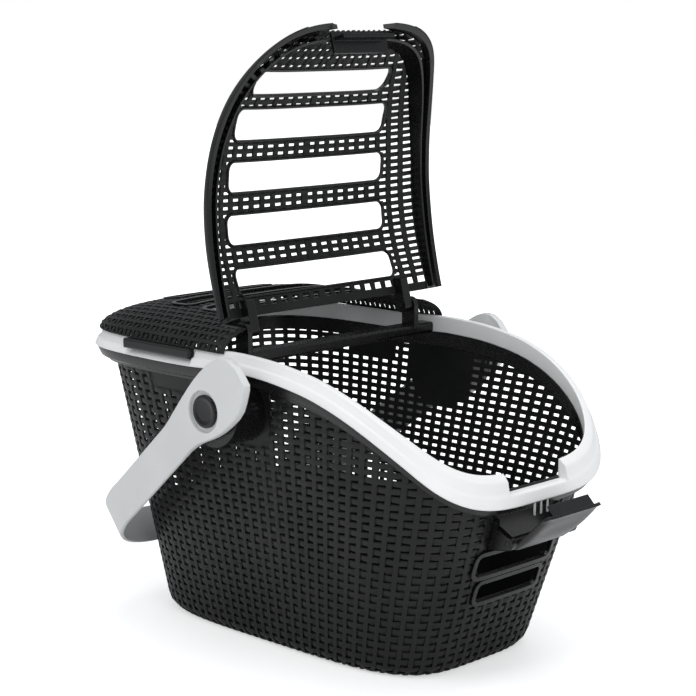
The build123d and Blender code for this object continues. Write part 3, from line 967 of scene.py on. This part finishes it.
# Floor, light and camera
bpy.ops.mesh.primitive_plane_add(size=14.0, location=(0, 0, 0))
floor = bpy.context.object
floor.name = "floor"
floor_material = bpy.data.materials.new("floor_white")
floor_material.use_nodes = True
floor_nodes = floor_material.node_tree.nodes
floor_links = floor_material.node_tree.links
floor_shader = floor_nodes["Principled BSDF"]
floor_shader.inputs["Base Color"].default_value = (0.9, 0.9, 0.9, 1)
floor_shader.inputs["Roughness"].default_value = 0.9
floor_shader.inputs["Specular IOR Level"].default_value = 0.1
floor_glow = floor_nodes.new("ShaderNodeEmission")
floor_place = floor_nodes.new("ShaderNodeTexCoord")
floor_far = floor_nodes.new("ShaderNodeVectorMath")
floor_far.operation = "LENGTH"
floor_ramp = floor_nodes.new("ShaderNodeMapRange")
floor_ramp.inputs["From Min"].default_value = 0.45
floor_ramp.inputs["From Max"].default_value = 1.3
floor_ramp.inputs["To Min"].default_value = 0.46
floor_ramp.inputs["To Max"].default_value = 1.0
floor_links.new(floor_place.outputs["Object"], floor_far.inputs[0])
floor_links.new(floor_far.outputs["Value"], floor_ramp.inputs["Value"])
floor_links.new(floor_ramp.outputs[0], floor_glow.inputs["Strength"])
floor_sum = floor_nodes.new("ShaderNodeAddShader")
floor_path = floor_nodes.new("ShaderNodeLightPath")
floor_mix = floor_nodes.new("ShaderNodeMixShader")
floor_out = floor_nodes["Material Output"]
floor_links.new(floor_shader.outputs[0], floor_sum.inputs[0])
floor_links.new(floor_glow.outputs[0], floor_sum.inputs[1])
floor_links.new(floor_path.outputs["Is Camera Ray"], floor_mix.inputs[0])
floor_links.new(floor_shader.outputs[0], floor_mix.inputs[1])
floor_links.new(floor_sum.outputs[0], floor_mix.inputs[2])
floor_links.new(floor_mix.outputs[0], floor_out.inputs[0])
floor.data.materials.append(floor_material)

world = bpy.data.worlds.new("studio")
bpy.context.scene.world = world
world.use_nodes = True
wn = world.node_tree.nodes
wl = world.node_tree.links
wn.clear()
w_out = wn.new("ShaderNodeOutputWorld")
w_mix = wn.new("ShaderNodeMixShader")
w_white = wn.new("ShaderNodeBackground")
w_soft = wn.new("ShaderNodeBackground")
w_path = wn.new("ShaderNodeLightPath")
w_white.inputs["Color"].default_value = (1, 1, 1, 1)
w_white.inputs["Strength"].default_value = 1.0
w_soft.inputs["Color"].default_value = (0.95, 0.97, 1.0, 1)
w_soft.inputs["Strength"].default_value = 0.55
w_dim = wn.new("ShaderNodeBackground")
w_dim.inputs["Color"].default_value = (0.95, 0.97, 1.0, 1)
w_dim.inputs["Strength"].default_value = 0.4
w_gloss = wn.new("ShaderNodeMixShader")
wl.new(w_path.outputs["Is Glossy Ray"], w_gloss.inputs[0])
wl.new(w_soft.outputs[0], w_gloss.inputs[1])
wl.new(w_dim.outputs[0], w_gloss.inputs[2])
wl.new(w_path.outputs["Is Camera Ray"], w_mix.inputs[0])
wl.new(w_gloss.outputs[0], w_mix.inputs[1])
wl.new(w_white.outputs[0], w_mix.inputs[2])
wl.new(w_mix.outputs[0], w_out.inputs[0])


def area_light(name, place, aim, size, power):
    light = bpy.data.lights.new(name, "AREA")
    light.energy = power
    light.size = size
    obj = bpy.data.objects.new(name, light)
    obj.location = place
    obj.rotation_euler = (Vector(aim) - Vector(place)).to_track_quat("-Z", "Y").to_euler()
    bpy.context.scene.collection.objects.link(obj)
    return obj


area_light("key", (-0.6, -2.0, 2.2), (0, 0, 0.25), 1.6, 15)
area_light("fill", (2.4, -0.6, 1.2), (0, 0, 0.25), 1.8, 17)
area_light("top", (0.2, 0.3, 2.6), (0, 0, 0.3), 1.8, 24)

camera = bpy.data.cameras.new("camera")
camera.sensor_width = 36.0
camera.lens = 36.0 * 1884.13 / 696.0
camera.clip_end = 50.0
cam = bpy.data.objects.new("camera", camera)
cam.location = (1.3106, -1.3585, 0.6187)
look = Vector((0.00142, 0, 0.28919)) - Vector(cam.location)
cam.rotation_euler = look.to_track_quat("-Z", "Y").to_euler()
bpy.context.scene.collection.objects.link(cam)
bpy.context.scene.camera = cam
bpy.context.scene.view_settings.view_transform = "Standard"
